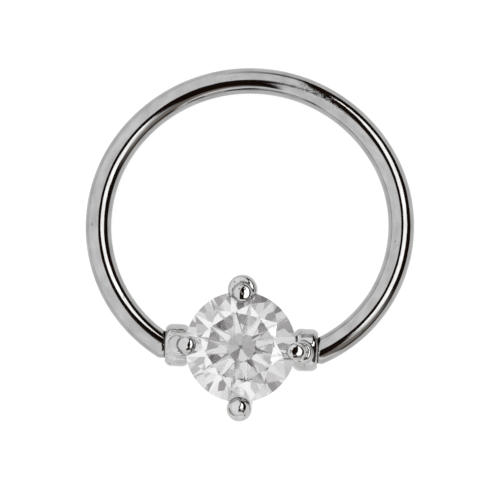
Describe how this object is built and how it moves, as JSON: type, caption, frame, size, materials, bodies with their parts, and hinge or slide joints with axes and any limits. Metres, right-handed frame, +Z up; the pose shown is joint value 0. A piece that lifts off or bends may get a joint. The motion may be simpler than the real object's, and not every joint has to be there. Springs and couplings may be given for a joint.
{
  "type": "captive gem ring",
  "caption": "Open wire body ring whose domed ends seat in dimples of a turning prong-set gem head, which closes the loop.",
  "frame": {"origin": "middle of the outline, on the plane that the piece lies on", "axes": "+X along the head's barrel, +Y from the gem head to the far side of the wire loop, +Z up, the way the stone faces"},
  "size_m": [0.0152, 0.0164, 0.0045],
  "materials": {
    "wire_steel": "polished surgical steel wire",
    "setting_steel": "polished cast steel",
    "stone": "faceted clear cubic zirconia"
  },
  "bodies": {
    "ring": {"ring": "wire_steel"},
    "head": {"setting": "setting_steel", "stone": "stone"}
  },
  "joints": [
    {"name": "gem_swivel", "type": "hinge", "parent": "ring", "child": "head", "pos_m": [-0.00017, -0.0048, 0.00098], "axis": [1, 0, 0], "continuous": true}
  ]
}
